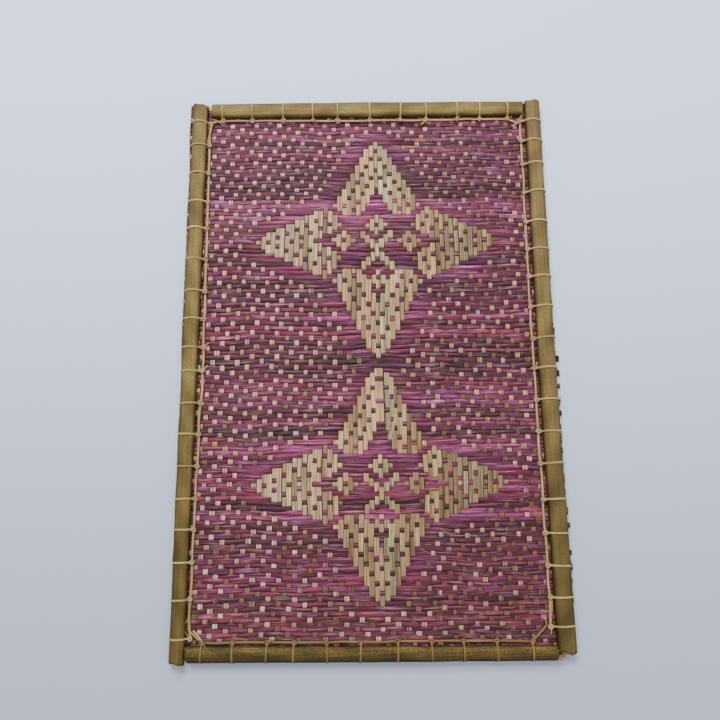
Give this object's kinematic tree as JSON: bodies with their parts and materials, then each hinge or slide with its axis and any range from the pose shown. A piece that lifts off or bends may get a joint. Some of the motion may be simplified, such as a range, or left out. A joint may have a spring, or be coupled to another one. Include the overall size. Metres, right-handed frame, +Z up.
{
  "type": "woven straw placemat with a split bamboo frame",
  "caption": "Flat rectangular table mat of dyed woven straw strips, its border held by split bamboo canes that are laced on with a cane strand.",
  "frame": {"origin": "on the table, under the middle of the framed mat", "axes": "+X across the mat, +Y along its long side, +Z up out of the woven face"},
  "size_m": [0.3027, 0.456, 0.0098],
  "materials": {
    "woven_straw": "dyed purple straw strips with natural straw crossing them, dry with a low sheen",
    "cane": "olive bamboo skin, smooth and slightly glossy",
    "brown_cane": "browner bamboo skin, weathered",
    "lacing": "pale split cane strand, satin"
  },
  "bodies": {
    "root": {"mat": "woven_straw", "cane_left": "cane", "cane_right": "cane", "cane_back": "cane", "cane_front": "brown_cane", "lacing_left": "lacing", "lacing_right": "lacing", "lacing_back": "lacing", "lacing_front": "lacing"}
  },
  "joints": []
}
